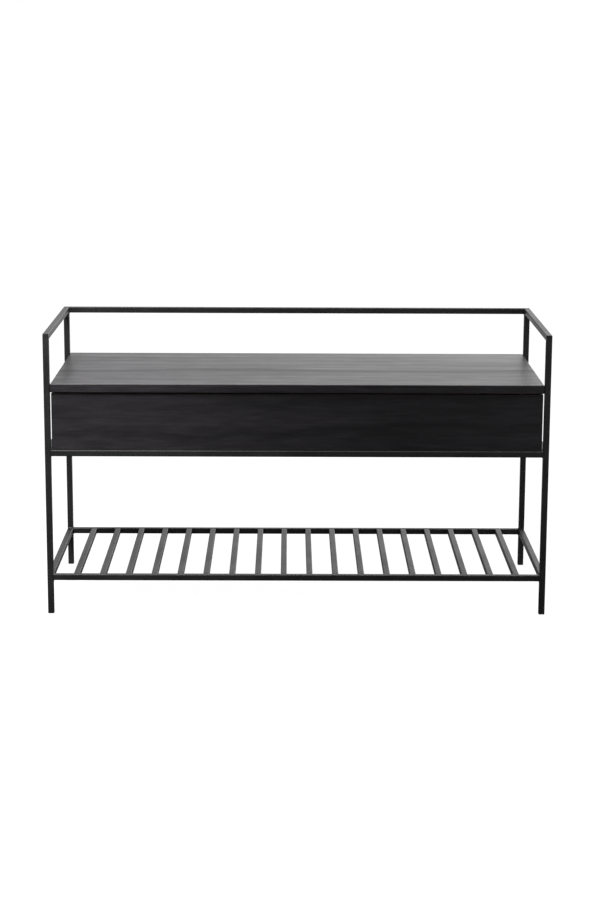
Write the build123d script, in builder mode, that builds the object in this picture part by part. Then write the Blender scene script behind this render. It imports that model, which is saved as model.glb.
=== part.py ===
"""Entryway bench: welded black tube frame, slatted shoe shelf, storage box and lift-up lid.

Units are millimetres.  +Z is up and z = 0 is the floor.  The bench is centred on x = 0 and
y = 0, its front looks towards -Y, and left means the -X side, as seen from the front.
"""
import os

from build123d import *

# Overall size
bench_width = 1000.0
bench_depth = 400.0
bench_height = 568.0

# Square steel tube, outside size over the powder coat
tube = 12.0
tube_wall = 1.2
tube_corner_r = 1.5
tube_bore_r = 0.4

# Heights of the seat rails and of the shoe shelf
seat_rail_top = 335.0
shelf_top = 81.0

# Plastic foot caps
cap_height = 5.0
cap_chamfer = 0.8
cap_plug_length = 12.0
cap_plug_gap = 0.1

# Shelf slats
slat_count = 18
slat_pitch = 52.0

# Bars under the storage box; the hinges stand above them
bar_x = (-330.0, 0.0, 330.0)

# Storage box
box_half_width = 486.0
box_front = -194.0
box_back = 154.7
box_top = 449.0
wall = 16.0
wall_edge_r = 1.0
floor_thickness = 6.0
floor_level = 343.0
groove_depth = 5.0
groove_play = 0.2

# Seat lid
lid_half_width = 487.3
lid_front = -197.0
lid_back = 199.5
lid_thickness = 17.0
lid_top = 468.0
lid_edge_r = 1.3

# Butt hinges
hinge_length = 60.0
leaf_thickness = 1.2
leaf_reach = 16.5
leaf_drop = 20.0
knuckle_r = 2.5
knuckle_count = 5
knuckle_gap = 0.2
knuckle_stand_off = 2.8
knuckle_clearance = 0.4
pin_r = 1.3
pin_play = 0.05
pin_head_r = 2.2
pin_head = 1.0

# Hinge screws
hinge_screw_spread = (-20.0, 0.0, 20.0)
hinge_screw_r = 1.5
hinge_screw_length = 12.0
hinge_screw_tip = 3.0
hinge_screw_head_r = 2.6

# Screws that hold the box down on the bars
box_screw_r = 2.0
box_screw_length = 30.0
box_screw_tip = 4.0
box_screw_head_r = 3.8
box_screw_head = 2.2
bar_hole_r = 2.25

# Dowels at the corners of the box
dowel_r = 4.0
dowel_length = 30.0
dowel_in_panel = 10.0
dowel_levels = (372.0, 424.0)

# Rubber bumpers on the front wall of the box
bumper_r = 4.0
bumper_height = 1.7
bumper_x = (-440.0, 0.0, 440.0)

# Clearance of screws and dowels in their holes
fastener_play = 0.05

# Derived positions
leg_x = (bench_width - tube) / 2
leg_y = (bench_depth - tube) / 2
inner_x = bench_width / 2 - tube
inner_y = bench_depth / 2 - tube
top_rail_z = bench_height - tube / 2
seat_rail_z = seat_rail_top - tube / 2
shelf_z = shelf_top - tube / 2
tube_bore = tube - 2 * tube_wall
box_bottom = seat_rail_top
box_height = box_top - box_bottom
box_inner_x = box_half_width - wall
box_inner_front = box_front + wall
box_inner_back = box_back - wall
box_depth = box_inner_back - box_inner_front
box_mid_y = (box_inner_front + box_inner_back) / 2
side_wall_x = box_half_width - wall / 2
lid_bottom = lid_top - lid_thickness
hinge_y = box_back + knuckle_stand_off
hinge_z = lid_bottom - knuckle_stand_off
knuckle_pitch = hinge_length / knuckle_count
leaf_start = knuckle_r + knuckle_clearance
box_screw_y = (box_front + wall / 2, box_back - wall / 2)
leaf_screw_z = hinge_z - 12.0
leaf_screw_y = hinge_y - 10.0
slat_x = [(i - (slat_count - 1) / 2) * slat_pitch for i in range(slat_count)]
sides = (("left", -1), ("right", 1))
hinge_sides = dict(zip(("left", "middle", "right"), bar_x))

pieces = []


def finish(part, name):
    """Label a finished piece and list it for export."""
    part.label = name
    pieces.append(part)


def square_tube(start, length, cuts=()):
    """Square tube standing on the plane `start`; each cut is (plane, side to keep)."""
    with BuildPart() as run:
        with BuildSketch(start):
            RectangleRounded(tube, tube, tube_corner_r)
            RectangleRounded(tube_bore, tube_bore, tube_bore_r, mode=Mode.SUBTRACT)
        extrude(amount=length)
        for plane, side in cuts:
            split(bisect_by=plane, keep=side)
    return run.part


def tube_along_x(y, z, half_length, cuts=()):
    """Square tube from x = -half_length to +half_length."""
    start = Plane(origin=(-half_length, y, z), x_dir=(0, 1, 0), z_dir=(1, 0, 0))
    return square_tube(start, 2 * half_length, cuts)


def tube_along_y(x, z, half_length, cuts=()):
    """Square tube from y = -half_length to +half_length."""
    start = Plane(origin=(x, -half_length, z), x_dir=(1, 0, 0), z_dir=(0, 1, 0))
    return square_tube(start, 2 * half_length, cuts)


def tube_upright(x, y, length, cuts=()):
    """Square tube standing on a foot cap."""
    start = Plane(origin=(x, y, cap_height), x_dir=(1, 0, 0), z_dir=(0, 0, 1))
    return square_tube(start, length, cuts)


# ------------------------------------------------------------------ legs and top rail
# Front legs and arm rails meet in a mitre seen from the side; arm rails and back rail
# meet in a mitre seen from above, on the tops of the rear legs.
front_mitre = Plane(origin=(0, -leg_y, top_rail_z), x_dir=(1, 0, 0), z_dir=(0, 1, 1))
rear_mitres = [
    Plane(origin=(sign * leg_x, leg_y, top_rail_z), x_dir=(0, 0, 1), z_dir=(-sign, 1, 0))
    for _, sign in sides
]

for (side, sign), rear_mitre in zip(sides, rear_mitres):
    front_cuts = [(front_mitre, Keep.BOTTOM)]
    arm_cuts = [(front_mitre, Keep.TOP), (rear_mitre, Keep.BOTTOM)]
    finish(
        tube_upright(sign * leg_x, -leg_y, bench_height - cap_height, front_cuts),
        f"front_leg_{side}",
    )
    finish(
        tube_upright(sign * leg_x, leg_y, bench_height - tube - cap_height),
        f"rear_leg_{side}",
    )
    finish(
        tube_along_y(sign * leg_x, top_rail_z, bench_depth / 2, arm_cuts),
        f"arm_rail_{side}",
    )

back_cuts = [(rear_mitre, Keep.TOP) for rear_mitre in rear_mitres]
finish(tube_along_x(leg_y, top_rail_z, bench_width / 2, back_cuts), "back_rail")

# ------------------------------------------------------------------ seat and shelf rails
for ring, level in (("seat", seat_rail_z), ("shelf", shelf_z)):
    finish(tube_along_x(-leg_y, level, inner_x), f"{ring}_rail_front")
    finish(tube_along_x(leg_y, level, inner_x), f"{ring}_rail_rear")
    for side, sign in sides:
        finish(tube_along_y(sign * leg_x, level, inner_y), f"{ring}_rail_{side}")

for number, x in enumerate(slat_x, start=1):
    finish(tube_along_y(x, shelf_z, inner_y), f"shelf_slat_{number:02d}")

# Bars that carry the storage box, drilled through for its screws
for side, x in hinge_sides.items():
    with BuildPart() as box_bar:
        add(tube_along_y(x, seat_rail_z, inner_y))
        with BuildSketch(Plane.XY.offset(seat_rail_top - tube)):
            with Locations(*[(x, y) for y in box_screw_y]):
                Circle(bar_hole_r)
        extrude(amount=tube, mode=Mode.SUBTRACT)
    finish(box_bar.part, f"box_bar_{side}")

# ------------------------------------------------------------------ foot caps
for end, y in (("front", -leg_y), ("rear", leg_y)):
    for side, sign in sides:
        with BuildPart() as foot_cap:
            with BuildSketch(Plane(origin=(sign * leg_x, y, 0))):
                RectangleRounded(tube, tube, tube_corner_r)
            extrude(amount=cap_height)
            chamfer(foot_cap.faces().sort_by(Axis.Z)[0].edges(), cap_chamfer)
            plug = tube_bore - 2 * cap_plug_gap
            with BuildSketch(Plane(origin=(sign * leg_x, y, cap_height))):
                RectangleRounded(plug, plug, tube_bore_r)
            extrude(amount=cap_plug_length)
        finish(foot_cap.part, f"foot_cap_{end}_{side}")

# ------------------------------------------------------------------ storage box
# The floor panel lies in a groove that runs round the inside of the four walls.
groove_height = floor_thickness + groove_play
groove_x = box_inner_x + groove_depth
groove_front = box_inner_front - groove_depth
groove_back = box_inner_back + groove_depth
panel_hole_depth = dowel_in_panel + 1.0
side_hole_depth = dowel_length - dowel_in_panel + 1.0
dowel_spots = [(sign * side_wall_x, z) for _, sign in sides for z in dowel_levels]
box_screw_depth = box_screw_length - tube + 1.0


def cross_panel(y_outer, y_inner, screw_y, into_panel):
    """Front or rear wall: eased edges, floor groove, dowel holes and screw holes."""
    mid_y = (y_outer + y_inner) / 2
    with BuildPart() as panel:
        with BuildSketch(Plane(origin=(0, mid_y, box_bottom))):
            Rectangle(2 * box_half_width, wall)
        extrude(amount=box_height)
        fillet(panel.edges(), wall_edge_r)
        with BuildSketch(Plane(origin=(0, y_inner, floor_level))):
            Rectangle(2 * groove_x, 2 * groove_depth)
        extrude(amount=groove_height, mode=Mode.SUBTRACT)
        with BuildSketch(Plane.XZ.offset(-y_inner)):
            with Locations(*dowel_spots):
                Circle(dowel_r + fastener_play)
        extrude(amount=into_panel * panel_hole_depth, mode=Mode.SUBTRACT)
        with BuildSketch(Plane.XY.offset(box_bottom)):
            with Locations(*[(x, screw_y) for x in bar_x]):
                Circle(box_screw_r + fastener_play)
        extrude(amount=box_screw_depth, mode=Mode.SUBTRACT)
    return panel.part


finish(cross_panel(box_front, box_inner_front, box_screw_y[0], 1), "box_front_panel")

with BuildPart() as box_rear_panel:
    add(cross_panel(box_back, box_inner_back, box_screw_y[1], -1))
    with BuildSketch(Plane.XZ.offset(-box_back)):
        with Locations(*[(x + dx, leaf_screw_z) for x in bar_x for dx in hinge_screw_spread]):
            Circle(hinge_screw_r + fastener_play)
    extrude(amount=hinge_screw_length, mode=Mode.SUBTRACT)
finish(box_rear_panel.part, "box_rear_panel")

for side, sign in sides:
    x = sign * side_wall_x
    with BuildPart() as box_side_panel:
        with BuildSketch(Plane(origin=(x, box_mid_y, box_bottom))):
            Rectangle(wall, box_depth)
        extrude(amount=box_height)
        fillet(box_side_panel.edges().filter_by(Axis.Y), wall_edge_r)
        with BuildSketch(Plane(origin=(sign * box_inner_x, box_mid_y, floor_level))):
            Rectangle(2 * groove_depth, box_depth)
        extrude(amount=groove_height, mode=Mode.SUBTRACT)
        for y_end, inward in ((box_inner_front, -1), (box_inner_back, 1)):
            with BuildSketch(Plane.XZ.offset(-y_end)):
                with Locations(*[(x, z) for z in dowel_levels]):
                    Circle(dowel_r + fastener_play)
            extrude(amount=inward * side_hole_depth, mode=Mode.SUBTRACT)
    finish(box_side_panel.part, f"box_side_panel_{side}")

with BuildPart() as box_floor:
    with BuildSketch(Plane(origin=(0, box_mid_y, floor_level))):
        Rectangle(2 * (groove_x - groove_play), box_depth + 2 * (groove_depth - groove_play))
    extrude(amount=floor_thickness)
finish(box_floor.part, "box_floor")

with BuildPart() as box_dowels:
    for y_end, inward in ((box_inner_front, 1), (box_inner_back, -1)):
        start = y_end - inward * dowel_in_panel
        with BuildSketch(Plane.XZ.offset(-start)):
            with Locations(*dowel_spots):
                Circle(dowel_r)
        extrude(amount=-inward * dowel_length)
    chamfer(box_dowels.edges().filter_by(GeomType.CIRCLE), 0.8)
finish(box_dowels.part, "box_dowels")

with BuildPart() as lid_bumpers:
    with BuildSketch(Plane.XY.offset(box_top)):
        with Locations(*[(x, box_front + wall / 2) for x in bumper_x]):
            Circle(bumper_r)
    extrude(amount=bumper_height)
    fillet(lid_bumpers.faces().group_by(Axis.Z)[-1].edges(), 0.6)
finish(lid_bumpers.part, "lid_bumpers")

# ------------------------------------------------------------------ seat lid
with BuildPart() as lid:
    with BuildSketch(Plane(origin=(0, (lid_front + lid_back) / 2, lid_bottom))):
        Rectangle(2 * lid_half_width, lid_back - lid_front)
    extrude(amount=lid_thickness)
    fillet(lid.edges(), lid_edge_r)
    with BuildSketch(Plane.XY.offset(lid_bottom)):
        with Locations(*[(x + dx, leaf_screw_y) for x in bar_x for dx in hinge_screw_spread]):
            Circle(hinge_screw_r + fastener_play)
    extrude(amount=hinge_screw_length, mode=Mode.SUBTRACT)
finish(lid.part, "lid")


# ------------------------------------------------------------------ hinges
def knuckles(x_start, numbers, web_y, web_z):
    """Knuckles of one leaf, with the webs (low, high spans in y and z) that join them to it."""
    with BuildPart() as barrel:
        for number in numbers:
            x_face = x_start + number * knuckle_pitch + knuckle_gap / 2
            with BuildSketch(Plane.YZ.offset(x_face)):
                with Locations((sum(web_y) / 2, sum(web_z) / 2)):
                    Rectangle(web_y[1] - web_y[0], web_z[1] - web_z[0])
                with Locations((hinge_y, hinge_z)):
                    Circle(knuckle_r)
                    Circle(pin_r + pin_play, mode=Mode.SUBTRACT)
            extrude(amount=knuckle_pitch - knuckle_gap)
    return barrel.part


for side, x in hinge_sides.items():
    x_start = x - hinge_length / 2

    # Leaf on the rear wall of the box
    with BuildPart() as box_leaf:
        with BuildSketch(Plane(origin=(x, box_back + leaf_thickness / 2, hinge_z - leaf_drop))):
            Rectangle(hinge_length, leaf_thickness)
        extrude(amount=leaf_drop - leaf_start)
        fillet(box_leaf.edges().filter_by(Axis.Y).group_by(Axis.Z)[0], 2.0)
        add(
            knuckles(
                x_start,
                range(0, knuckle_count, 2),
                (box_back, box_back + leaf_thickness),
                (hinge_z - leaf_start - 1.0, hinge_z),
            )
        )
        with Locations(
            *[
                Location((x + dx, box_back + leaf_thickness, leaf_screw_z), (-90, 0, 0))
                for dx in hinge_screw_spread
            ]
        ):
            CounterSinkHole(hinge_screw_r + 0.1, hinge_screw_head_r + 0.1, leaf_thickness, 90)
    finish(box_leaf.part, f"hinge_box_leaf_{side}")

    # Leaf under the lid
    with BuildPart() as lid_leaf:
        leaf_mid_y = hinge_y - (leaf_reach + leaf_start) / 2
        with BuildSketch(Plane(origin=(x, leaf_mid_y, lid_bottom - leaf_thickness))):
            Rectangle(hinge_length, leaf_reach - leaf_start)
        extrude(amount=leaf_thickness)
        fillet(lid_leaf.edges().filter_by(Axis.Z).group_by(Axis.Y)[0], 2.0)
        add(
            knuckles(
                x_start,
                range(1, knuckle_count, 2),
                (hinge_y - leaf_start - 1.0, hinge_y),
                (lid_bottom - leaf_thickness, lid_bottom),
            )
        )
        with Locations(
            *[
                Location((x + dx, leaf_screw_y, lid_bottom - leaf_thickness), (180, 0, 0))
                for dx in hinge_screw_spread
            ]
        ):
            CounterSinkHole(hinge_screw_r + 0.1, hinge_screw_head_r + 0.1, leaf_thickness, 90)
    finish(lid_leaf.part, f"hinge_lid_leaf_{side}")

with BuildPart() as hinge_pins:
    for x in bar_x:
        half = hinge_length / 2
        with BuildSketch(Plane.YZ.offset(x - half)):
            with Locations((hinge_y, hinge_z)):
                Circle(pin_r)
        extrude(amount=hinge_length)
        for x_face, outward in ((x - half, -1), (x + half, 1)):
            with BuildSketch(Plane.YZ.offset(x_face)):
                with Locations((hinge_y, hinge_z)):
                    Circle(pin_head_r)
            extrude(amount=outward * pin_head)
finish(hinge_pins.part, "hinge_pins")


# ------------------------------------------------------------------ screws
def turned(profile):
    """Solid of revolution about Z from (radius, height) points that start and end on the axis."""
    with BuildPart() as shape:
        with BuildSketch(Plane.XZ):
            with BuildLine():
                Polyline(*profile, close=True)
            make_face()
        revolve(axis=Axis.Z)
    return shape.part


# Screws lie along -Z from the top of the head at z = 0
cone = hinge_screw_head_r - hinge_screw_r
hinge_screw = turned(
    [
        (0, 0),
        (hinge_screw_head_r, 0),
        (hinge_screw_r, -cone),
        (hinge_screw_r, hinge_screw_tip - hinge_screw_length),
        (0.3, -hinge_screw_length),
        (0, -hinge_screw_length),
    ]
)
box_screw = turned(
    [
        (0, box_screw_head),
        (box_screw_head_r - 0.8, box_screw_head),
        (box_screw_head_r, box_screw_head - 0.8),
        (box_screw_head_r, 0),
        (box_screw_r, 0),
        (box_screw_r, box_screw_tip - box_screw_length),
        (0.4, -box_screw_length),
        (0, -box_screw_length),
    ]
)


def screw_group(screw, locations):
    """Identical screws as separate solids."""
    with BuildPart() as group:
        with Locations(*locations):
            add(screw)
    return group.part


hinge_screw_x = [x + dx for x in bar_x for dx in hinge_screw_spread]
finish(
    screw_group(
        hinge_screw,
        [Location((x, box_back + leaf_thickness, leaf_screw_z), (-90, 0, 0)) for x in hinge_screw_x],
    ),
    "hinge_screws_box",
)
finish(
    screw_group(
        hinge_screw,
        [Location((x, leaf_screw_y, lid_bottom - leaf_thickness), (180, 0, 0)) for x in hinge_screw_x],
    ),
    "hinge_screws_lid",
)
finish(
    screw_group(
        box_screw,
        [Location((x, y, seat_rail_top - tube), (180, 0, 0)) for x in bar_x for y in box_screw_y],
    ),
    "box_screws",
)

# ------------------------------------------------------------------ export
os.makedirs("parts", exist_ok=True)
for piece in pieces:
    export_step(piece, f"parts/{piece.label}.step")
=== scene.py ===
"""Entryway bench: finishes, weld beads, screws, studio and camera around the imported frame.

Lengths in this file are metres.  The bench stands on z = 0, its front looks towards -Y, and left
means the -X side, as seen from the front.
"""
import math

import bmesh
import bpy
import numpy as np
from mathutils import Matrix, Vector


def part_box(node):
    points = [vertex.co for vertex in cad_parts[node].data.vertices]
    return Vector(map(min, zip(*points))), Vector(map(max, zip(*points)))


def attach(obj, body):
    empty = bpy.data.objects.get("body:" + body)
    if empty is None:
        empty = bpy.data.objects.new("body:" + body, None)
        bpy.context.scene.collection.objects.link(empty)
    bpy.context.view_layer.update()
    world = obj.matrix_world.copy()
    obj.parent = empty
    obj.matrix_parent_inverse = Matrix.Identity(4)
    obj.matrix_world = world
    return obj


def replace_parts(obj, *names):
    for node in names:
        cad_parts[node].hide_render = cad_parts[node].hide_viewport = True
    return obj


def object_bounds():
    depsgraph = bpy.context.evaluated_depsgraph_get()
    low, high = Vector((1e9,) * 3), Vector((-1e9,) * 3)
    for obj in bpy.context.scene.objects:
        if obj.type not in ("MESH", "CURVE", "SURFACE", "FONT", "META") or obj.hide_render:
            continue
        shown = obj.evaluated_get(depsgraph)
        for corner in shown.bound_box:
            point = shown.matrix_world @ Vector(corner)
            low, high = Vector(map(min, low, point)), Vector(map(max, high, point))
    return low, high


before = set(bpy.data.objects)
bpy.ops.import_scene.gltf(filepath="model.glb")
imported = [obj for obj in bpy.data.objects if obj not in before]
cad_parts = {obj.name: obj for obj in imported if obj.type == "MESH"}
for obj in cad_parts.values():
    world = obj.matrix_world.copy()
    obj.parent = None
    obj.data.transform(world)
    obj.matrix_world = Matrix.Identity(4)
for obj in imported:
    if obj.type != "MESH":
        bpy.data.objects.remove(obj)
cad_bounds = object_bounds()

mm = 0.001


# ------------------------------------------------------------------ small helpers

def linear(hex_colour):
    """An sRGB hex colour as linear RGBA."""
    parts = np.array([int(hex_colour[i:i + 2], 16) for i in (1, 3, 5)]) / 255.0
    straight = np.where(parts <= 0.04045, parts / 12.92, ((parts + 0.055) / 1.055) ** 2.4)
    return (*straight.tolist(), 1.0)


def add(tree, kind, inputs=(), stops=(), **settings):
    """Adds one node with its settings and links, and returns its outputs.

    inputs holds values, or the outputs that feed them, in the order of the node's inputs or by
    name.  stops are a colour ramp's (position, hex colour) pairs.
    """
    made = tree.nodes.new("ShaderNode" + kind)
    for name, value in settings.items():
        setattr(made, name, value)
    for key, value in inputs.items() if isinstance(inputs, dict) else enumerate(inputs):
        if isinstance(value, bpy.types.NodeSocket):
            tree.links.new(value, made.inputs[key])
        else:
            made.inputs[key].default_value = value
    if stops:
        points = made.color_ramp.elements
        while len(points) < len(stops):
            points.new(0.5)
        for point, (position, colour) in zip(points, stops):
            point.position, point.color = position, linear(colour)
    return made.outputs


def new_material(name):
    """An empty node material: the material, its node tree and its object coordinates."""
    material = bpy.data.materials.new(name)
    material.use_nodes = True
    tree = material.node_tree
    tree.nodes.clear()
    return material, tree, add(tree, "TexCoord")["Object"]


def close_material(tree, shader_inputs):
    """Wires the finished colour, gloss and relief through one shader to the material's output."""
    add(tree, "OutputMaterial", {"Surface": add(tree, "BsdfPrincipled", shader_inputs)["BSDF"]})


def mottle(tree, place, cells_per_metre, seed, **noise):
    """A soft random field with its own number of cells per metre along X, Y and Z."""
    spread = add(tree, "Mapping", {"Vector": place, "Scale": cells_per_metre,
                                   "Location": (seed * 1.37, seed * 2.11, seed * 0.73)})
    return add(tree, "TexNoise", {"Vector": spread["Vector"], "Scale": 1.0, **noise})["Fac"]


def weighted(tree, *parts):
    """The sum of (field, share) parts, each field times its share."""
    total = 0.0
    for field, share in parts:
        total = add(tree, "Math", [field, share, total], operation="MULTIPLY_ADD")[0]
    return total


def mesh_piece(name, points, faces, material, body):
    """A mesh object from whole arrays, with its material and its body."""
    mesh = bpy.data.meshes.new(name)
    mesh.from_pydata(points.reshape(-1, 3).tolist(), [], faces.tolist())
    shell = bmesh.new()
    shell.from_mesh(mesh)
    bmesh.ops.remove_doubles(shell, verts=shell.verts, dist=0.001 * mm)
    bmesh.ops.recalc_face_normals(shell, faces=shell.faces)
    shell.to_mesh(mesh)
    shell.free()
    mesh.shade_smooth()
    mesh.materials.append(material)
    piece = bpy.data.objects.new(name, mesh)
    bpy.context.scene.collection.objects.link(piece)
    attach(piece, body)
    return piece


def tube_faces(count, rings, around):
    """Quads of count closed tubes, each of rings of points, with around points in every ring."""
    n, i, j = np.meshgrid(np.arange(count), np.arange(rings - 1), np.arange(around), indexing="ij")
    first = (n * rings + i) * around
    here, beside = first + j, first + (j + 1) % around
    return np.stack([here, beside, beside + around, here + around], -1).reshape(-1, 4)


def smooth_step(low, high, value):
    """0 below low, 1 above high, and a smooth cubic ramp between them."""
    t = np.clip((value - low) / (high - low), 0, 1)
    return t * t * (3 - 2 * t)


# ------------------------------------------------------------------ finishes

def board_edge(tree, place, low, high, reach):
    """1 on a board's eased edges and 0 further in than reach.  On a face one of the three distances
    to the board's sides is nil, so the middle one of the three is the distance to the nearest edge."""
    axes = add(tree, "SeparateXYZ", [place])
    gaps = []
    for axis, name in enumerate("XYZ"):
        middle, half = (low[axis] + high[axis]) / 2, (high[axis] - low[axis]) / 2
        off = add(tree, "Math", [axes[name], middle], operation="SUBTRACT")[0]
        off = add(tree, "Math", [off], operation="ABSOLUTE")[0]
        gaps.append(add(tree, "Math", [half, off], operation="SUBTRACT")[0])
    small = add(tree, "Math", gaps[:2], operation="MINIMUM")[0]
    large = add(tree, "Math", gaps[:2], operation="MAXIMUM")[0]
    large = add(tree, "Math", [large, gaps[2]], operation="MINIMUM")[0]
    nearest = add(tree, "Math", [small, large], operation="MAXIMUM")[0]
    return add(tree, "MapRange", [nearest, 0.0, reach, 1.0, 0.0], interpolation_type="SMOOTHSTEP")[0]


def stained_wood(name, node_name, along, seed, dark_line=None):
    """Solid rubberwood board, edge-glued, stained espresso black and sprayed with satin lacquer.

    To the eye: nearly black with a hint of purple, soft broken streaks with the grain, fine open
    pores, a dry satin gloss that turns pale grey at a low angle, and slightly rubbed, lighter edges.
    along is 0 for grain along X and 1 for grain along Y.  dark_line is the place across the grain
    of one dark wandering growth line, or None.
    """
    material, tree, place = new_material(name)
    axes = add(tree, "SeparateXYZ", [place])

    def grained(long_cells, cross_cells, number, **noise):
        """A field with its cells per metre along the grain and across it."""
        cells = [(long_cells, cross_cells, cross_cells), (cross_cells, long_cells, cross_cells)][along]
        return mottle(tree, place, cells, seed + number, **noise)

    # Streaks about 25 mm wide and 0.25 m long, broken figure 7 mm wide and 55 mm long, fibres 2 mm
    # wide and 70 mm long, vessels 1 mm wide and 40 mm long (real ones are 0.2 mm wide, and are drawn
    # coarser so that they show), and a broad cloud in the stain.
    streaks = grained(4.0, 42.0, 0, Detail=3.0, Roughness=0.55)
    figure = grained(18.0, 150.0, 4, Detail=3.0, Roughness=0.65)
    fibres = grained(14.0, 520.0, 3, Detail=2.0, Roughness=0.6)
    vessels = grained(26.0, 900.0, 5, Detail=1.0)
    cloud = grained(3.0, 9.0, 8, Detail=2.0)

    # Growth lines: the place across the grain, bent by a slow field, drives a sine.
    ring_turn, bend = 2 * math.pi / (46 * mm), 100 * mm
    bent = weighted(tree, (axes["Y" if along == 0 else "X"], 1.0), (axes["Z"], 0.8),
                    (grained(3.4, 3.0, 11, Detail=2.0), bend))
    phase = add(tree, "Math", [bent, ring_turn, -bend / 2 * ring_turn], operation="MULTIPLY_ADD")[0]
    wave = add(tree, "Math", [phase], operation="SINE")[0]
    rings = add(tree, "MapRange", [wave, 0.35, 1.0, 0.0, 1.0], interpolation_type="SMOOTHSTEP")[0]

    parts = [(streaks, 0.32), (fibres, 0.22), (figure, 0.36), (cloud, 0.20), (rings, -0.07)]
    if dark_line is not None:
        swing = 45 * mm
        off = weighted(tree, (axes["Y"], 1.0), (grained(4.5, 1.0, 17, Detail=2.0), swing))
        off = add(tree, "Math", [off, dark_line + swing / 2], operation="SUBTRACT")[0]
        off = add(tree, "Math", [off], operation="ABSOLUTE")[0]
        line = add(tree, "MapRange", [off, 4 * mm, 19 * mm, 1.0, 0.0], interpolation_type="SMOOTHSTEP")[0]
        parts.append((line, -0.16))
    tone = weighted(tree, *parts)
    colour = add(tree, "ValToRGB", [tone], stops=[
        (0.38, "#151316"), (0.48, "#201e21"), (0.56, "#282629"), (0.68, "#363336")])["Color"]

    # Edges rubbed to the paler wood beneath, in patches about 15 mm long.
    edge = board_edge(tree, place, *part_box(node_name), 2.2 * mm)
    patches = mottle(tree, place, (60.0, 60.0, 60.0), seed + 20, Detail=2.0)
    patches = add(tree, "MapRange", [patches, 0.35, 0.65, 0.25, 1.0])[0]
    rubbed = add(tree, "Math", [edge, patches], operation="MULTIPLY")[0]
    rubbed = add(tree, "Math", [rubbed, 0.55], operation="MULTIPLY")[0]
    worn = add(tree, "Mix", {"Factor": rubbed, "A": colour, "B": linear("#4a3a33")},
               data_type="RGBA")["Result"]

    gloss = add(tree, "MapRange", [tone, 0.38, 0.66, 0.43, 0.32])[0]
    gloss = weighted(tree, (gloss, 1.0), (vessels, 0.10))
    height = weighted(tree, (fibres, 0.5), (vessels, 0.5))
    relief = add(tree, "Bump", {"Strength": 0.30, "Distance": 0.12 * mm, "Height": height})["Normal"]
    close_material(tree, {"Base Color": worn, "Roughness": gloss, "Normal": relief, "IOR": 1.42})
    return material


def powder_coated_steel():
    """Mild steel tube, satin black polyester powder coat, baked.

    To the eye: even near-black, a very fine orange peel that softens reflections, and a pale sheen
    at a low angle.  Real peel cells are 0.5 to 1 mm; they are drawn 1.5 mm wide so that they show.
    """
    material, tree, place = new_material("powder_coated_steel_satin_black")
    peel = mottle(tree, place, (650.0, 650.0, 650.0), 2, Detail=2.0, Roughness=0.5)
    film = mottle(tree, place, (14.0, 14.0, 14.0), 5, Detail=3.0)
    dust = mottle(tree, place, (240.0, 240.0, 240.0), 9, Detail=1.0)
    colour = add(tree, "ValToRGB", [film], stops=[(0.30, "#1a1a1b"), (0.70, "#272728")])["Color"]
    specks = add(tree, "MapRange", [dust, 0.68, 0.78, 0.0, 0.25], interpolation_type="SMOOTHSTEP")[0]
    dusty = add(tree, "Mix", {"Factor": specks, "A": colour, "B": linear("#48484a")},
                data_type="RGBA")["Result"]
    gloss = add(tree, "MapRange", [film, 0.3, 0.7, 0.44, 0.51])[0]
    gloss = weighted(tree, (gloss, 1.0), (peel, 0.05))
    relief = add(tree, "Bump", {"Strength": 0.25, "Distance": 0.1 * mm, "Height": peel})["Normal"]
    close_material(tree, {"Base Color": dusty, "Roughness": gloss, "Normal": relief, "IOR": 1.45})
    return material


def stained_plywood():
    """Birch plywood, 6 mm, stained dark brown, unlacquered.

    To the eye: flat dark brown with faint cathedral streaks, dry and matt.  Streaks are about
    17 mm wide, and fibres 1.5 mm, drawn coarser than real ones so that they show.
    """
    material, tree, place = new_material("birch_plywood_stained_matt")
    streaks = mottle(tree, place, (3.0, 60.0, 60.0), 31, Detail=4.0, Roughness=0.6)
    fibres = mottle(tree, place, (20.0, 700.0, 700.0), 33, Detail=2.0)
    colour = add(tree, "ValToRGB", [weighted(tree, (streaks, 0.7), (fibres, 0.3))],
                 stops=[(0.30, "#241a16"), (0.55, "#33261f"), (0.75, "#45342a")])["Color"]
    gloss = add(tree, "MapRange", [fibres, 0.3, 0.7, 0.62, 0.78])[0]
    relief = add(tree, "Bump", {"Strength": 0.4, "Distance": 0.15 * mm, "Height": fibres})["Normal"]
    close_material(tree, {"Base Color": colour, "Roughness": gloss, "Normal": relief, "IOR": 1.5})
    return material


def moulded_polyethylene():
    """Black low-density polyethylene foot cap, injection moulded in a spark-eroded mould.

    To the eye: waxy black with a fine matt grain.  The grain is 0.3 mm, drawn 0.8 mm.
    """
    material, tree, place = new_material("polyethylene_moulded_black")
    grain = mottle(tree, place, (1200.0, 1200.0, 1200.0), 41, Detail=1.0)
    scuff = mottle(tree, place, (90.0, 90.0, 300.0), 43, Detail=3.0)
    colour = add(tree, "ValToRGB", [scuff], stops=[(0.35, "#131313"), (0.70, "#242424")])["Color"]
    gloss = add(tree, "MapRange", [scuff, 0.3, 0.7, 0.46, 0.6])[0]
    relief = add(tree, "Bump", {"Strength": 0.3, "Distance": 0.1 * mm, "Height": grain})["Normal"]
    close_material(tree, {"Base Color": colour, "Roughness": gloss, "Normal": relief, "IOR": 1.51})
    return material


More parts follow.
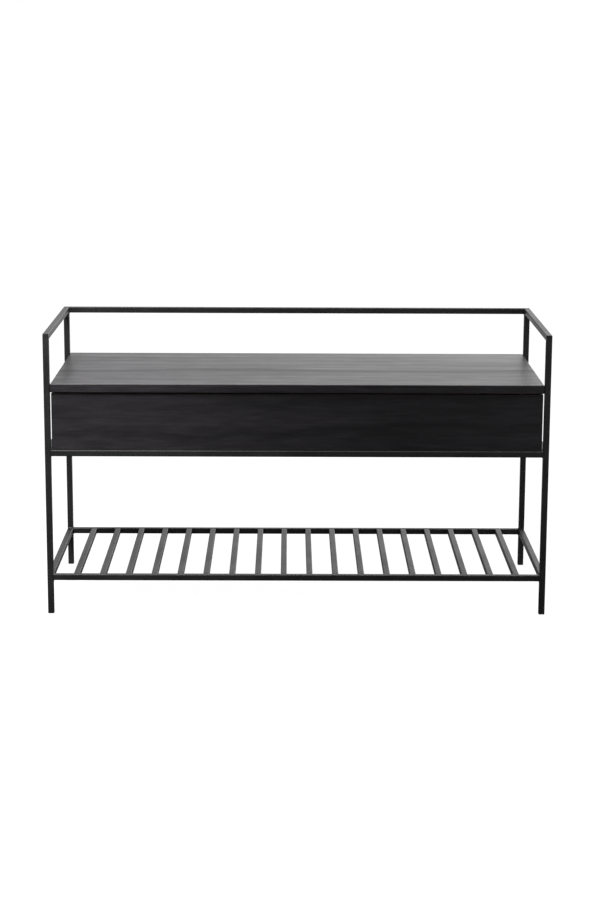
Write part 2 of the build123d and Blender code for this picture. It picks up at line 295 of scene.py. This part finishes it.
def matt_rubber():
    """Self-adhesive dark grey polyurethane rubber bumper, cast.

    To the eye: matt and slightly dusty, with no clear highlight.  The dust is in 1.2 mm flecks.
    """
    material, tree, place = new_material("polyurethane_rubber_matt")
    dust = mottle(tree, place, (800.0, 800.0, 800.0), 51, Detail=3.0)
    colour = add(tree, "ValToRGB", [dust], stops=[(0.35, "#1b1b1c"), (0.75, "#343436")])["Color"]
    gloss = add(tree, "MapRange", [dust, 0.3, 0.7, 0.7, 0.85])[0]
    relief = add(tree, "Bump", {"Strength": 0.2, "Distance": 0.1 * mm, "Height": dust})["Normal"]
    close_material(tree, {"Base Color": colour, "Roughness": gloss, "Normal": relief, "IOR": 1.5})
    return material


def zinc_plated_steel(name, brushed_along, seed):
    """Bright zinc-plated steel, rolled strip or turned wire.

    To the eye: cool blue-grey metal with fine lines along the rolling direction, cloudy gloss and
    a few dull spots.  Lines are 0.1 mm apart on the real part, drawn 0.5 mm apart.
    brushed_along is 0, 1 or 2 for lines along X, Y or Z.
    """
    material, tree, place = new_material(name)
    cells = [2200.0, 2200.0, 2200.0]
    cells[brushed_along] = 60.0
    lines = mottle(tree, place, cells, seed, Detail=2.0)
    cloud = mottle(tree, place, (160.0, 160.0, 160.0), seed + 2, Detail=3.0)
    colour = add(tree, "ValToRGB", [cloud],
                 stops=[(0.30, "#8d9196"), (0.55, "#a9acb0"), (0.80, "#bcbdbb")])["Color"]
    gloss = add(tree, "MapRange", [cloud, 0.3, 0.7, 0.26, 0.42])[0]
    gloss = weighted(tree, (gloss, 1.0), (lines, 0.08))
    relief = add(tree, "Bump", {"Strength": 0.2, "Distance": 0.05 * mm, "Height": lines})["Normal"]
    close_material(tree, {"Base Color": colour, "Metallic": 1.0, "Roughness": gloss, "Normal": relief})
    return material


def planed_beech():
    """Fluted beech dowel, planed and unfinished.

    To the eye: pale pinkish tan with short dark flecks along the grain, about 1 mm wide.
    """
    material, tree, place = new_material("beech_planed_raw")
    flecks = mottle(tree, place, (900.0, 90.0, 900.0), 61, Detail=1.0)
    tone = mottle(tree, place, (300.0, 20.0, 300.0), 63, Detail=3.0)
    colour = add(tree, "ValToRGB", [weighted(tree, (flecks, 0.4), (tone, 0.6))],
                 stops=[(0.35, "#a9805a"), (0.55, "#c79c72"), (0.75, "#d6b18a")])["Color"]
    gloss = add(tree, "MapRange", [flecks, 0.3, 0.7, 0.55, 0.7])[0]
    relief = add(tree, "Bump", {"Strength": 0.3, "Distance": 0.1 * mm, "Height": flecks})["Normal"]
    close_material(tree, {"Base Color": colour, "Roughness": gloss, "Normal": relief, "IOR": 1.5})
    return material


powder_coat = powder_coated_steel()
plated_strip = zinc_plated_steel("zinc_plated_steel_rolled", 0, 71)
plated_wire = zinc_plated_steel("zinc_plated_steel_turned", 2, 77)
cap_plastic = moulded_polyethylene()

lid_low, lid_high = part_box("lid")
dark_line_share = 0.58      # of the lid's depth, from its rear edge
dark_line = lid_high.y - dark_line_share * (lid_high.y - lid_low.y)

finish_of_node = {
    "lid": stained_wood("rubberwood_stained_lid", "lid", 0, 1.0, dark_line),
    "box_front_panel": stained_wood("rubberwood_stained_front", "box_front_panel", 0, 6.0),
    "box_rear_panel": stained_wood("rubberwood_stained_rear", "box_rear_panel", 0, 12.0),
    "box_side_panel_left": stained_wood("rubberwood_stained_left", "box_side_panel_left", 1, 18.0),
    "box_side_panel_right": stained_wood("rubberwood_stained_right", "box_side_panel_right", 1, 24.0),
    "box_floor": stained_plywood(),
    "box_dowels": planed_beech(),
    "lid_bumpers": matt_rubber(),
}
for node_name, node_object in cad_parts.items():
    finish = finish_of_node.get(node_name, powder_coat)
    if "screws" in node_name:
        finish = plated_wire
    elif node_name.startswith("hinge_"):
        finish = plated_strip
    elif node_name.startswith("foot_cap"):
        finish = cap_plastic
    for node_slot in node_object.material_slots:
        node_slot.material = finish


# ------------------------------------------------------------------ weld beads

def weld_beads(name, beads, half_length, rings, arc):
    """Concave fillet beads in inside corners of the frame, ground and painted over.

    Formula: in a corner's own plane the section runs along a quarter circle of radius leg, whose
    centre lies leg away from both faces, from one face to the other, and closes just inside the
    metal.  It is carried along the corner, and leg swells and shrinks by 7 percent like puddles of
    weld and falls to nothing at both ends as the fourth root of one minus the sixth power of the
    place along it.  A bead is (corner, way along one face, way along the other, leg).
    """
    corners, a, b = (np.array([bead[i] for bead in beads], float) for i in range(3))
    legs = np.array([bead[3] for bead in beads])
    run = np.cross(a, b)
    inside, puddle_length, swell = 0.25 * mm, 3.6 * mm, 0.07
    t = np.linspace(-1, 1, rings)
    puddle = 1 + swell * np.sin(t * half_length * 2 * math.pi / puddle_length
                                + np.arange(len(beads))[:, None])
    size = legs[:, None] * puddle * (1 - np.abs(t) ** 6)[None, :] ** 0.25
    turn = np.linspace(0, math.pi / 2, arc)
    section_a = np.concatenate([1 - np.sin(turn), [0.0]])
    section_b = np.concatenate([1 - np.cos(turn), [0.0]])
    sunk = np.concatenate([np.zeros(arc), [inside]])
    u = size[:, :, None] * section_a - sunk
    v = size[:, :, None] * section_b - sunk
    points = (corners[:, None, None, :] + u[..., None] * a[:, None, None, :]
              + v[..., None] * b[:, None, None, :]
              + (t * half_length)[None, :, None, None] * run[:, None, None, :])
    faces = tube_faces(len(beads), rings, arc + 1)
    mesh_piece(name, points, faces, powder_coat, "bench")


seat_low, seat_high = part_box("seat_rail_front")
shelf_low, shelf_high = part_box("shelf_rail_front")
top_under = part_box("back_rail")[0].z
tube = seat_high.z - seat_low.z
outer_x, outer_y = cad_bounds[1][0], cad_bounds[1][1]
leg_face_x, leg_face_y = outer_x - tube, outer_y - tube
leg_axis_x, leg_axis_y = outer_x - tube / 2, outer_y - tube / 2
bead_half = tube / 2 - 0.7 * mm

# Legs of the fillets: a full bead under a rail, a light pass over it, and the lightest at the slats.
over_bead, seat_bead, shelf_bead, arm_bead, back_bead, slat_bead = (
    leg * mm for leg in (2.4, 3.2, 4.2, 3.2, 3.6, 1.9))

frame_beads = []
for side in (-1, 1):
    for end in (-1, 1):
        for level, way, leg in ((seat_low.z, -1, seat_bead), (seat_high.z, 1, over_bead),
                                (shelf_low.z, -1, shelf_bead), (shelf_high.z, 1, over_bead)):
            # front and rear rails against the legs, then side rails against the legs
            frame_beads.append(((side * leg_face_x, end * leg_axis_y, level),
                                (-side, 0, 0), (0, 0, way), leg))
            frame_beads.append(((side * leg_axis_x, end * leg_face_y, level),
                                (0, -end, 0), (0, 0, way), leg))
        frame_beads.append(((side * leg_axis_x, end * leg_face_y, top_under),
                            (0, -end, 0), (0, 0, -1), arm_bead))
    frame_beads.append(((side * leg_face_x, leg_axis_y, top_under), (-side, 0, 0), (0, 0, -1), back_bead))
weld_beads("frame_corner_welds", frame_beads, bead_half, rings=11, arc=7)

slat_beads = []
for node_name in sorted(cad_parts):
    if node_name.startswith(("shelf_slat_", "box_bar_")):
        low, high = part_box(node_name)
        for face_x, way in ((low.x, -1), (high.x, 1)):
            for end in (-1, 1):
                slat_beads.append(((face_x, end * leg_face_y, (low.z + high.z) / 2),
                                   (way, 0, 0), (0, -end, 0), slat_bead))
weld_beads("slat_and_bar_welds", slat_beads, bead_half, rings=7, arc=4)


# ------------------------------------------------------------------ screws

def screws(name, replaced, body, heads, out, profile, shank_radius, length, tip, around=32):
    """Cross-head screws with a rolled thread.

    Formula: a profile of radius against depth is turned round the screw's axis.  Over the head the
    depth is lowered inside a cross, by a smooth step of the distance to the nearer of its two bars.
    Along the shank the radius falls and rises by a triangle wave of depth over pitch minus turns,
    which makes the thread, and tapers to nothing at the tip.  heads is (count, 3), the place of
    each head's seat, and out is the way that the heads look.  profile holds the head's (radius,
    place along the axis) rows from its crown to its shank, and the crown's rise is the first row's
    third number.
    """
    heads, out = np.asarray(heads, float), np.asarray(out, float)
    side = np.cross(out, (1.0, 0, 0))
    ahead = np.cross(side, out)
    turn = np.arange(around) / around * 2 * math.pi
    rim, rim_place, rise = profile[0]

    flat = np.linspace(0, 1, 11)[:, None] * rim * np.ones(around)
    x, y = np.abs(flat * np.cos(turn)), np.abs(flat * np.sin(turn))
    bar, reach, deep = 0.17 * rim, 0.62 * rim, 0.42 * rim
    gap = np.maximum(np.minimum(x, y) - bar, np.maximum(x, y) - reach)
    cross = (1 - smooth_step(-0.12 * rim, 0.06 * rim, gap)) * (1 - 0.55 * flat / reach).clip(0, 1)
    crown = rim_place + 0.16 * rim * (1 - (flat / rim) ** 2) * rise
    radius, depth = [flat], [crown - deep * cross]
    for row_radius, row_place in profile[1:]:
        radius.append(np.full((1, around), row_radius))
        depth.append(np.full((1, around), row_place))

    pitch, rings_per_turn, root = 1.25 * mm, 6, 0.74
    s = np.linspace(profile[-1][1], -length, int(length / pitch * rings_per_turn))[:, None]
    saw = (s / pitch - turn / (2 * math.pi)) % 1.0
    thread = root + (1 - root) * np.abs(2 * saw - 1)
    taper = ((s + length) / tip).clip(0.02, 1)
    radius = np.concatenate(radius + [shank_radius * taper * thread, np.zeros((1, around))])
    depth = np.concatenate(depth + [s * np.ones(around), np.full((1, around), -length)])

    local = (radius * np.cos(turn))[..., None] * ahead + (radius * np.sin(turn))[..., None] * side
    points = heads[:, None, None, :] + (local + depth[..., None] * out)[None]
    faces = tube_faces(len(heads), radius.shape[0], around)
    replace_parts(mesh_piece(name, points, faces, plated_wire, body), replaced)


bars = [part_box(node_name) for node_name in ("box_bar_left", "box_bar_middle", "box_bar_right")]
bar_x = [(low.x + high.x) / 2 for low, high in bars]
screw_spacing = 20 * mm
hinge_screw_x = [x + step * screw_spacing for x in bar_x for step in (-1, 0, 1)]
box_side_low, box_side_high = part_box("hinge_screws_box")
lid_side_low, lid_side_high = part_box("hinge_screws_lid")
bar_low, bar_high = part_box("box_screws")

# Hinge screws 3 x 12 with a countersunk head, and box screws 4 x 30 with a pan head.
small, large = 2.6 * mm, 3.8 * mm
pan_height = 2.2 * mm
countersunk = [(small, 0.0, 0.0), (small, -0.12 * mm), (1.5 * mm, -1.1 * mm)]
pan = [(large - 0.9 * mm, pan_height - 0.5 * mm, 1.0), (large - 0.35 * mm, pan_height - 0.75 * mm),
       (large, pan_height - 1.2 * mm), (large, 0.0), (2.0 * mm, 0.0)]

screws("hinge_screws_in_box", "hinge_screws_box", "bench",
       [(x, box_side_high.y, (box_side_low.z + box_side_high.z) / 2) for x in hinge_screw_x],
       (0, 1, 0), countersunk, shank_radius=1.5 * mm, length=12 * mm, tip=3 * mm)
screws("hinge_screws_in_lid", "hinge_screws_lid", "lid",
       [(x, (lid_side_low.y + lid_side_high.y) / 2, lid_side_low.z) for x in hinge_screw_x],
       (0, 0, -1), countersunk, shank_radius=1.5 * mm, length=12 * mm, tip=3 * mm)
screws("box_screws_in_bars", "box_screws", "bench",
       [(x, y, bar_low.z + pan_height) for x in bar_x for y in (bar_low.y + large, bar_high.y - large)],
       (0, 0, -1), pan, shank_radius=2.0 * mm, length=30 * mm, tip=4 * mm)


# ------------------------------------------------------------------ studio

white = (1, 1, 1, 1)


def studio_floor_paint():
    """Matt white painted floor.

    To the eye: nearly white, with a faint soft shadow at the feet.  Reflections see it bright behind
    the bench and dim in front, as the floor of a room that is lit from behind, and from below it
    is clear, so that the underside shows.
    """
    material, tree, place = new_material("floor_paint_matt_white")
    floor_glow, lit_colour = 0.965, (0.12, 0.12, 0.12, 1)
    dim_until, bright_from, dim_front, bright_back = -0.3, 1.2, 0.035, 0.95
    glow = add(tree, "Emission", {"Color": white, "Strength": floor_glow})["Emission"]
    lit = add(tree, "BsdfDiffuse", {"Color": lit_colour, "Roughness": 0.0})["BSDF"]
    seen = add(tree, "AddShader", [glow, lit])["Shader"]
    depth = add(tree, "SeparateXYZ", [place])["Y"]
    sweep = add(tree, "MapRange", [depth, dim_until, bright_from, dim_front, bright_back],
                interpolation_type="SMOOTHSTEP")[0]
    mirrored = add(tree, "Emission", {"Color": white, "Strength": sweep})["Emission"]
    camera_rays = add(tree, "LightPath")["Is Camera Ray"]
    above = add(tree, "MixShader", [camera_rays, mirrored, seen])["Shader"]
    clear = add(tree, "BsdfTransparent")["BSDF"]
    from_below = add(tree, "NewGeometry")["Backfacing"]
    add(tree, "OutputMaterial", {"Surface": add(tree, "MixShader", [from_below, above, clear])["Shader"]})
    return material


floor_half = 60.0
floor_mesh = bpy.data.meshes.new("studio_floor")
floor_mesh.from_pydata([(-floor_half, -floor_half, 0), (floor_half, -floor_half, 0),
                        (floor_half, floor_half, 0), (-floor_half, floor_half, 0)], [], [(0, 1, 2, 3)])
floor_mesh.materials.append(studio_floor_paint())
floor = bpy.data.objects.new("studio_floor", floor_mesh)
bpy.context.scene.collection.objects.link(floor)

# The room: plain white to the camera.  Reflections and light see a pale wall behind the bench that
# is brighter towards the right, and a dark room in front.
wall_back, wall_front, wall_lean = 1.35, 0.04, 0.95
front_until, back_from, lean_reach = -0.4, 0.6, 0.6
world = bpy.data.worlds.new("studio_room")
world.use_nodes = True
sky = world.node_tree
sky.nodes.clear()
way = add(sky, "SeparateXYZ", [add(sky, "TexCoord")["Generated"]])
towards_back = add(sky, "MapRange", [way["Y"], front_until, back_from, 0.0, 1.0],
                   interpolation_type="SMOOTHSTEP")[0]
front_light = add(sky, "MapRange", [way["Y"], front_until, back_from, wall_front, 0.0],
                  interpolation_type="SMOOTHSTEP")[0]
lean = add(sky, "MapRange", [way["X"], -lean_reach, lean_reach, 1 - wall_lean, 1 + wall_lean],
           interpolation_type="SMOOTHSTEP")[0]
back_light = add(sky, "Math", [towards_back, lean], operation="MULTIPLY")[0]
room_light = weighted(sky, (back_light, wall_back), (front_light, 1.0))
camera_rays = add(sky, "LightPath")["Is Camera Ray"]
seen_light = add(sky, "Math", [camera_rays, room_light], operation="MAXIMUM")[0]
backdrop = add(sky, "Background", {"Color": white, "Strength": seen_light})["Background"]
add(sky, "OutputWorld", {"Surface": backdrop})
bpy.context.scene.world = world


def lamp(name, kind, centre, target, power):
    """A white studio lamp at centre that faces target, unseen by the camera.  Returns its data."""
    made = bpy.data.lights.new(name, kind)
    made.energy = power
    holder = bpy.data.objects.new(name, made)
    holder.location = centre
    holder.rotation_euler = (Vector(target) - Vector(centre)).to_track_quat("-Z", "Y").to_euler()
    holder.visible_camera = False
    bpy.context.scene.collection.objects.link(holder)
    return made


# Soft boxes (watts, width, height): a faint one low at the left, one low at the right that lights
# the right legs, and the main one nearly overhead, whose light leaves a shadow under the lid's lip.
for name, centre, target, power, width, height in (
        ("softbox_left", (-1.25, -2.6, 0.85), (-0.3, 0, 0.35), 6.0, 0.9, 0.9),
        ("softbox_right", (1.7, -1.7, 0.6), (0.5, 0, 0.35), 7.0, 0.6, 0.6),
        ("softbox_top", (0.1, -0.85, 2.6), (0, -0.1, 0.3), 45.0, 2.2, 0.6)):
    softbox = lamp(name, "AREA", centre, target, power)
    softbox.shape, softbox.size, softbox.size_y = "RECTANGLE", width, height

# A round reflector high over the left end, whose soft pool of light ends near the bench's middle.
reflector = lamp("reflector_left", "SPOT", (-0.95, -0.95, 2.1), (-0.62, -0.19, 0.45), 260.0)
reflector.shadow_soft_size = 0.18
reflector.spot_size, reflector.spot_blend = math.radians(37), 1.0


# ------------------------------------------------------------------ camera

camera_place = Vector((-17.42, -4212.54, 1168.33)) * mm
yaw, pitch, roll = (math.radians(angle) for angle in (0.3298, 11.6987, -0.2397))
ahead = Vector((math.sin(yaw) * math.cos(pitch), math.cos(yaw) * math.cos(pitch), -math.sin(pitch)))
level = Vector((math.cos(yaw), -math.sin(yaw), 0))
down = ahead.cross(level)
right = math.cos(roll) * level + math.sin(roll) * down
up = math.sin(roll) * level - math.cos(roll) * down

camera_data = bpy.data.cameras.new("camera")
camera_data.sensor_fit = "AUTO"
camera_data.sensor_width = 36.0
camera_data.lens = 82.721
camera_data.clip_start, camera_data.clip_end = 0.1, 200.0
camera = bpy.data.objects.new("camera", camera_data)
camera.matrix_world = Matrix((
    (right.x, up.x, -ahead.x, camera_place.x),
    (right.y, up.y, -ahead.y, camera_place.y),
    (right.z, up.z, -ahead.z, camera_place.z),
    (0, 0, 0, 1)))
bpy.context.scene.collection.objects.link(camera)
bpy.context.scene.camera = camera
bpy.context.scene.view_settings.view_transform = "Standard"
